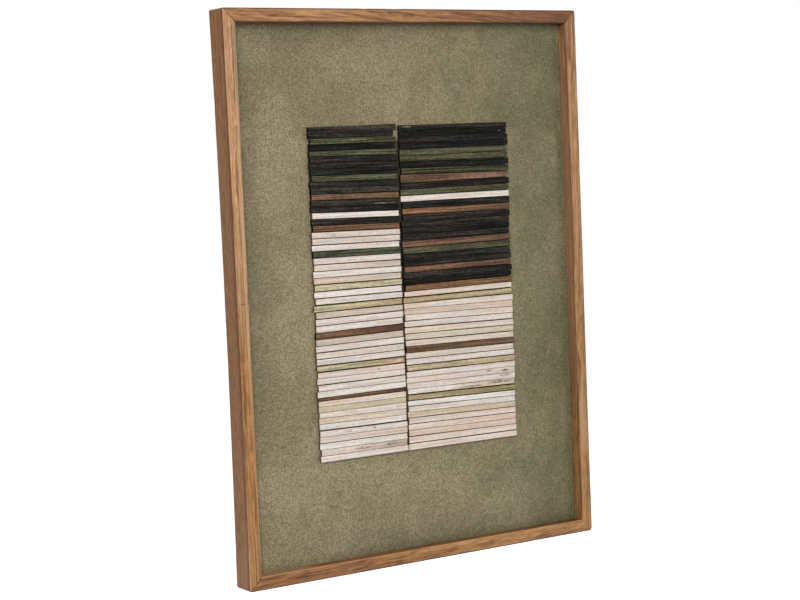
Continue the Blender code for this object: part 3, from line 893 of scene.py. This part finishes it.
def slat_workshop():
    """The node tree that turns each point into a slat: a fine block, stretched between the slat's
    two ends and its upper and lower line, rounded, bowed, sawn wavy and broken at the ends."""
    tree = bpy.data.node_groups.new("sawn_slats", "GeometryNodeTree")
    sizes = (
        ("Points along", "NodeSocketInt", 62),
        ("Points across", "NodeSocketInt", 9),
        ("Points through", "NodeSocketInt", 6),
        ("Arris", "NodeSocketFloat", 0.5 * MM),
        ("Waver", "NodeSocketFloat", 0.35 * MM),
        ("Bow", "NodeSocketFloat", 0.35 * MM),
        ("Ragged end", "NodeSocketFloat", 0.9 * MM),
        ("Seed", "NodeSocketFloat", 11.0),
        ("Stain", "NodeSocketMaterial", None),
    )
    tree.interface.new_socket("Points", in_out="INPUT", socket_type="NodeSocketGeometry")
    for label, kind, value in sizes:
        socket = tree.interface.new_socket(label, in_out="INPUT", socket_type=kind)
        if value is not None:
            socket.default_value = value
    tree.interface.new_socket("Slats", in_out="OUTPUT", socket_type="NodeSocketGeometry")
    start = Wire(tree)
    entry = start.node("NodeGroupInput").socket.node
    given = {socket.name: Wire(tree, socket) for socket in entry.outputs if socket.name}

    counts = {1: given["Points along"], 2: given["Points through"], 3: given["Points across"]}
    block = start.node("GeometryNodeMeshCube", None, counts)
    place = start.node("GeometryNodeInputPosition")
    named = {0: block, "Name": "unit", "Value": place}
    block = start.node("GeometryNodeStoreNamedAttribute", {"data_type": "FLOAT_VECTOR"}, named)
    one_each = {"Points": given["Points"], "Instance": block}
    laid = start.node("GeometryNodeInstanceOnPoints", None, one_each)
    laid = start.node("GeometryNodeRealizeInstances", None, {0: laid})

    def read(name):
        """A vector that every point of a slat carries."""
        settings = {"data_type": "FLOAT_VECTOR"}
        return start.node("GeometryNodeInputNamedAttribute", settings, {"Name": name})

    def bunched(unit, share):
        """A place from -0.5 to 0.5, moved so that the points stand closer together at both ends."""
        swing = (unit * math.pi).math("SINE") * 0.5
        return unit * (1 - share) + swing * share

    unit_x, unit_y, unit_z = read("unit").parts()
    unit_x = bunched(unit_x, 0.45)
    unit_z = bunched(unit_z, 0.75)
    unit_y = bunched(unit_y, 0.55)
    upper_left, upper_right, slat_seed = read("upper_line").parts()
    lower_left, lower_right, _ = read("lower_line").parts()
    left_end, right_end, _ = read("reach").parts()
    slat_front, slat_back, _ = read("faces").parts()
    seed = slat_seed + given["Seed"]

    share = unit_x + 0.5
    flat_x = left_end + (right_end - left_end) * share

    def wobble(frequency, height, offset):
        """Noise from -1 to 1 that changes along the slat, and from one slat to the next."""
        spot = start.vector(flat_x * frequency, height, seed + offset)
        return spot.grain(UNSTRETCHED, 2.0, 0.5) * 2 - 1

    at_top = unit_z.math("GREATER_THAN", 0.0)
    waver = (wobble(55, at_top * 7, 0.0) * 0.5 + 0.5) * given["Waver"]
    chip = (wobble(240, at_top * 5, 40.0) - 0.25).math("MAXIMUM", 0.0)
    taken = waver + chip * given["Waver"] * 1.6
    upper = upper_left + (upper_right - upper_left) * share - taken
    lower = lower_left + (lower_right - lower_left) * share + taken
    half_height = (upper - lower) * 0.5
    middle_z = (upper + lower) * 0.5

    bowed = (wobble(9, 3.0, 20.0) * 0.5 + 0.5) * given["Bow"]
    sawn = (wobble(300, unit_z * 3, 60.0) * 0.5 + 0.5) * given["Bow"] * 0.25
    front = slat_front + bowed + sawn
    half_depth = (slat_back - front) * 0.5
    middle_y = (slat_back + front) * 0.5

    at_right = unit_x.math("GREATER_THAN", 0.0)
    crumb = start.vector(unit_z * 5.5, unit_y * 2.0 + at_right * 9, seed)
    crumb = crumb.grain(UNSTRETCHED, 3.0, 0.6)
    broken = (crumb - 0.38).math("MAXIMUM", 0.0) * 3.0
    half_length = (right_end - left_end) * 0.5 - broken * given["Ragged end"]
    middle_x = (right_end + left_end) * 0.5

    arris = given["Arris"] * (wobble(38, at_top * 4, 80.0) * 0.45 + 0.75)

    def rounded(unit, half):
        """How far a point is out along one axis, and how far it lies past the rounding's start."""
        out = unit * 2 * half
        core = half - arris
        held = out.math("MINIMUM", core).math("MAXIMUM", core * -1)
        return held, out - held

    held_x, past_x = rounded(unit_x, half_length)
    held_y, past_y = rounded(unit_y, half_depth)
    held_z, past_z = rounded(unit_z, half_height)
    past_length = (past_x * past_x + past_y * past_y + past_z * past_z).math("SQRT")
    never_zero = past_length + 1e-7
    pull = (arris / never_zero).math("MINIMUM", 1.0)
    final = start.vector(
        middle_x + held_x + past_x * pull,
        middle_y + held_y + past_y * pull,
        middle_z + held_z + past_z * pull,
    )
    shaped = start.node("GeometryNodeSetPosition", None, {"Geometry": laid, "Position": final})
    stained = {"Geometry": shaped, "Material": given["Stain"]}
    shaped = start.node("GeometryNodeSetMaterial", None, stained)
    start.node("NodeGroupOutput", None, {0: shaped})
    return tree


# The tints that a stain runs through along the grain: rose, plain, green and blue.
CHALKY_TINTS = (paint(255, 244, 241), paint(254, 252, 251), paint(252, 252, 243), paint(245, 249, 255))
DARK_TINTS = (paint(255, 232, 240), paint(252, 247, 242), paint(243, 255, 238), paint(232, 240, 255))
BROWNED_EDGE = paint(250, 240, 227)


def stained_wood(name, is_dark, strengths, colours):
    """Stained lath. The stain is each slat's own, with warm and cool patches, streaks along the
    grain, mottling, scratches down to the wood, pits and dark ends. The upper arrises are lighter with
    wear and painted highlight, the lower arrises darker with painted shade, and the sides are dark with
    painted shade in the joints."""
    streaked, patched, roughness = strengths
    worn_and_highlight, warm, cool, pit_and_shade = colours
    material, shader, place = new_surface(name, roughness)
    shader.inputs["Specular IOR Level"].default_value = 0.06

    def carried(key, output="Vector"):
        """What the slat carries under a name."""
        return place.node("ShaderNodeAttribute", {"attribute_name": key}, output=output)

    unit_x, unit_y, unit_z = carried("unit").parts()
    seed = carried("upper_line").parts()[2]
    own = place.shifted(place.vector(seed * 3.7, seed, seed * 1.9))
    streaks = own.grain((9, 380, 520), 4.0, 0.6, 0.3)
    fibre = own.grain((50, 1300, 1700), 3.0, 0.65)
    mottle = own.grain((150, 300, 330), 3.0, 0.6, 0.4)
    blotch = own.grain((60, 80, 190), 4.0, 0.65, 0.5)
    scuffs = own.grain((35, 700, 1000), 4.0, 0.7)
    warm_patch = own.shifted((3.1, 1.7, 5.9)).grain((22, 130, 230), 4.0, 0.7, 0.4)
    cool_patch = own.shifted((7.7, 4.2, 0.8)).grain((17, 140, 250), 4.0, 0.7, 0.4)
    turning = (unit_x + (blotch - 0.5) * 0.9).band(-0.25, 0.35)
    colour = turning.mixed(carried("stain_colour", "Color"), carried("turned_colour", "Color"))
    colour = (warm_patch.band(0.50, 0.62) * patched).mixed(colour, warm)
    colour = (cool_patch.band(0.50, 0.62) * patched).mixed(colour, cool)
    tints = zip((0.37, 0.46, 0.54, 0.63), DARK_TINTS if is_dark else CHALKY_TINTS)
    hue = own.shifted((1.3, 9.1, 4.4)).grain((14, 150, 260), 3.0, 0.6, 0.4)
    tint = hue.node("ShaderNodeValToRGB", {"stops": list(tints)}, {"Fac": hue})
    colour = colour.tinted(tint).toned(streaked, streaks, 0.13)
    colour = colour.toned(streaked * 0.4, fibre).toned(streaked * 0.5, mottle)
    colour = (scuffs.band(0.58, 0.70) * patched * 0.7).mixed(colour, worn_and_highlight)
    pits = own.grain((190, 600, 600), 3.0, 0.6).band(0.60, 0.69) * blotch.band(0.46, 0.60)
    colour = (pits * 0.65).mixed(colour, pit_and_shade)
    for mark in ("first", "second"):
        mark_x, mark_z, strength = carried(mark + "_mark").parts()
        half_length, half_height, _ = carried(mark + "_mark_size").parts()
        spot = place.spot(mark_x, mark_z, half_length, half_height, scuffs * 0.6 + blotch * 0.4)
        patchy = mottle.band(0.42, 0.58, 0.25, 1.0)
        colour = (spot * patchy * strength).mixed(colour, carried(mark + "_mark_colour", "Color"))
    colour = colour.tinted(BROWNED_EDGE, abs(unit_z).band(0.38, 0.46))
    # Upper arris: wear and a painted highlight.
    upper_arris_wear_and_highlight = unit_z.band(0.36, 0.47) * warm_patch.band(0.46, 0.60)
    colour = (upper_arris_wear_and_highlight * 0.55).mixed(colour, worn_and_highlight)
    # Lower arris: painted shade.
    lower_arris_shade = unit_z.band(-0.38, -0.48) * blotch.band(0.30, 0.60, 0.4, 1.0)
    colour = (lower_arris_shade * 0.55).mixed(colour, pit_and_shade)
    # Sides: painted shade in the joints between the slats.
    joint_side_shade = unit_y.band(-0.49, -0.20)
    colour = (joint_side_shade * 0.92).mixed(colour, paint(46, 28, 15))
    end_grain = abs(unit_x).band(0.4985, 0.4999) * scuffs.band(0.35, 0.6, 1.0, 0.8)
    end_stain = paint(18, 14, 10) if is_dark else paint(124, 100, 70)
    colour = (end_grain * 0.85).mixed(colour, end_stain)
    feed(shader, colour, "Base Color")
    feed(shader, fibre * 0.20 + blotch * 0.10 + (roughness - 0.15), "Roughness")
    height = streaks * 0.4 + fibre * 0.3 + scuffs * 0.2 - pits * 0.4
    feed(shader, bump(height, 0.5, 0.4 * MM), "Normal")
    return material


# Each finish: how strong its streaks and its patches are and its roughness, then its colours where it
# is scratched down to the wood, where it runs warm, where it runs cool, and in the pits. The first is
# also painted on the upper arrises as highlight, and the last on the lower arrises as shade.
PALE_FINISHES = ("khaki", "limewash")
FINISHES = {
    "black": ((0.85, 0.55, 0.62), (80, 78, 66), (46, 32, 38), (28, 37, 42), (10, 8, 8)),
    "olive": ((0.52, 0.45, 0.70), (124, 120, 90), (98, 86, 62), (66, 72, 50), (34, 28, 20)),
    "green": ((0.58, 0.55, 0.70), (110, 106, 76), (84, 66, 48), (48, 58, 40), (24, 20, 16)),
    "rust": ((0.42, 0.50, 0.66), (156, 124, 100), (138, 92, 72), (92, 78, 60), (48, 32, 24)),
    "walnut": ((0.40, 0.45, 0.62), (136, 104, 78), (124, 80, 56), (76, 60, 50), (34, 24, 20)),
    "khaki": ((0.30, 0.75, 0.78), (214, 200, 160), (198, 168, 130), (158, 158, 112), (92, 76, 52)),
    "limewash": ((0.13, 0.55, 0.82), (186, 166, 148), (216, 190, 174), (210, 210, 200), (104, 84, 68)),
}
finish_stains = {}
for finish, (strengths, *mixed_colours) in FINISHES.items():
    colours = [paint(*mixed) for mixed in mixed_colours]
    is_dark = finish not in PALE_FINISHES
    finish_stains[finish] = stained_wood(finish + "_stain", is_dark, strengths, colours)

workshop = slat_workshop()
inlets = {item.name: item.identifier for item in workshop.interface.items_tree if item.in_out == "INPUT"}


def joint_gaps(side, above):
    """The gap at the left and right end of the joint under a number of slats."""
    fitting = [gaps for gaps, joints in JOINTS[side].items() if above in joints]
    left_gap, right_gap = fitting[0] if fitting else TIGHT
    return left_gap * MM, right_gap * MM


# The stacks' ends were never trimmed: each slat stops a little short, by up to this much at its outer
# end and this much at the end next to the other stack, where the dark slats gape most. The higher its
# power, the fewer ends stop far short.
UNTRIMMED = 3.0 * MM
UNTRIMMED_POWER = 1.8
UNTRIMMED_INSIDE = {"pale": 1.3 * MM, "dark": 3.0 * MM}
UNTRIMMED_INSIDE_POWER = 2
TRIM_SEED = 20
trim = random.Random(TRIM_SEED)

# Every slat has a grain of its own, and the two stacks share none.
GRAIN_STEP = 1.37
GRAIN_START = {"left": 0.0, "right": 90.0}


def slat_card(side, number, left_end, right_end):
    """All that one slat carries: its lines with half of each joint taken off, ends, faces, stains
    and marks. left_end and right_end are the corners of its true ends."""
    (left_low, left_high), (right_low, right_high) = left_end, right_end
    gaps_over = joint_gaps(side, number - 1)
    gaps_under = joint_gaps(side, number)
    order = LEFT_ORDER if side == "left" else RIGHT_ORDER
    stain, _, turned = order[number - 1].partition(">")
    seed = number * GRAIN_STEP + GRAIN_START[side]
    shade = "pale" if STAINS[stain][0] > PALE_FROM else "dark"
    outer_cut = UNTRIMMED * trim.random() ** UNTRIMMED_POWER
    inner_cut = UNTRIMMED_INSIDE[shade] * trim.random() ** UNTRIMMED_INSIDE_POWER
    left_cut, right_cut = (outer_cut, inner_cut) if side == "left" else (inner_cut, outer_cut)
    card = {
        "upper_line": (left_high.z - gaps_over[0] / 2, right_high.z - gaps_over[1] / 2, seed),
        "lower_line": (left_low.z + gaps_under[0] / 2, right_low.z + gaps_under[1] / 2, 0.0),
        "reach": (left_low.x + left_cut, right_high.x - right_cut, 0.0),
        "faces": (left_low.y, left_high.y, 0.0),
        "stain_colour": STAINS[stain],
        "turned_colour": STAINS[turned or stain],
    }
    middle_z = (left_low.z + left_high.z + right_low.z + right_high.z) / 4
    marks = MARKS[side].get(number, ())
    for name, mark in zip(("first_mark", "second_mark"), (*marks, NO_MARK, NO_MARK)):
        x, over_middle, half_length, half_height, colour, strength = mark
        card[name] = (x * MM, middle_z + over_middle * MM, strength)
        card[name + "_size"] = (half_length * MM, half_height * MM, 0.0)
        card[name + "_colour"] = STAINS[colour]
    return card


for node_name in sorted(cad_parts):
    if "_slat" not in node_name:
        continue
    side, _, numbers, finish = node_name.split("_")
    first_number = int(numbers.split("-")[0])
    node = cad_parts[node_name]
    pairs = zip(slat_ends(node, -1), slat_ends(node, 1))
    cards = [slat_card(side, first_number + index, *pair) for index, pair in enumerate(pairs)]
    piece_name = "stained_" + node_name
    carrier = new_object(piece_name + "_points", slat_points(piece_name, cards))
    maker = carrier.modifiers.new("sawn_slats", "NODES")
    maker.node_group = workshop
    maker[inlets["Stain"]] = finish_stains[finish]
    evaluated = carrier.evaluated_get(bpy.context.evaluated_depsgraph_get())
    slat_mesh = bpy.data.meshes.new_from_object(evaluated)
    bpy.data.objects.remove(carrier, do_unlink=True)
    slat_mesh.shade_smooth()
    piece = new_object(piece_name, slat_mesh)
    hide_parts(node_name)
    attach(piece, "root")


# ----------------------------------------------------------
# The studio: a pale floor well below the panel, a broad soft light from the upper left in front, a
# weaker one from the right, and a white room that is brighter overhead. The camera is to the left.
# ----------------------------------------------------------

FLOOR_BELOW = 1.0
FLOOR_HALF_SIZE = 14.0
FLOOR_GLOW = 0.8
WHITE = (1.0, 1.0, 1.0, 1.0)

floor_shape = bmesh.new()
bmesh.ops.create_grid(floor_shape, x_segments=8, y_segments=8, size=FLOOR_HALF_SIZE)
floor_mesh = bpy.data.meshes.new("studio_floor")
floor_shape.to_mesh(floor_mesh)
floor_shape.free()
floor_mesh.transform(Matrix.Translation((0.0, 0.0, panel_low.z - FLOOR_BELOW)))
floor = new_object("studio_floor", floor_mesh)
floor_material, floor_shader, floor_place = new_surface("pale_floor", 0.9)
floor_cloud = floor_place.grain((2, 2, 2))
feed(floor_shader, floor_cloud.mixed(paint(244, 244, 244), paint(250, 250, 250)), "Base Color")
floor_shader.inputs["Emission Color"].default_value = WHITE
floor_shader.inputs["Emission Strength"].default_value = FLOOR_GLOW
floor_mesh.materials.append(floor_material)
floor.visible_diffuse = False

world = bpy.data.worlds.new("white_room")
bpy.context.scene.world = world
world.use_nodes = True
room = Wire(world.node_tree)
seen = room.node("ShaderNodeLightPath", output="Is Camera Ray")
upwards = room.node("ShaderNodeTexCoord", output="Generated").parts()[2]
strength = upwards.band(-0.6, 0.5, 0.09, 0.40).math("MAXIMUM", seen)
background = world.node_tree.nodes["Background"]
background.inputs["Color"].default_value = WHITE
world.node_tree.links.new(strength.socket, background.inputs["Strength"])

panel_centre = Vector((centre_x, (front_y + back_y) / 2, centre_z))


def soft_light(name, from_centre, width, power):
    """A square soft box, set off from the panel's centre and turned to it."""
    lamp = bpy.data.lights.new(name, "AREA")
    lamp.shape = "SQUARE"
    lamp.size = width
    lamp.energy = power
    light = new_object(name, lamp)
    light.location = panel_centre + Vector(from_centre)
    light.rotation_euler = (-Vector(from_centre)).to_track_quat("-Z", "Y").to_euler()


soft_light("key_light", from_centre=(-2.6, -4.6, 2.1), width=2.8, power=245.0)
soft_light("fill_light", from_centre=(2.8, -3.4, 0.4), width=1.8, power=44.0)

# The camera's lens and sensor in millimetres, its place from the panel's centre, and its turn in
# degrees.
CAMERA_LENS = 82.85
CAMERA_SENSOR = 36.0
CAMERA_FROM_CENTRE = (-1.4554, -2.2453, 0.1930)
CAMERA_TURN = (85.483, 2.371, -32.720)

camera_data = bpy.data.cameras.new("camera")
camera_data.lens = CAMERA_LENS
camera_data.sensor_width = CAMERA_SENSOR
camera = new_object("camera", camera_data)
camera.location = panel_centre + Vector(CAMERA_FROM_CENTRE)
camera.rotation_euler = Euler([math.radians(angle) for angle in CAMERA_TURN])
bpy.context.scene.camera = camera
bpy.context.scene.view_settings.view_transform = "Standard"
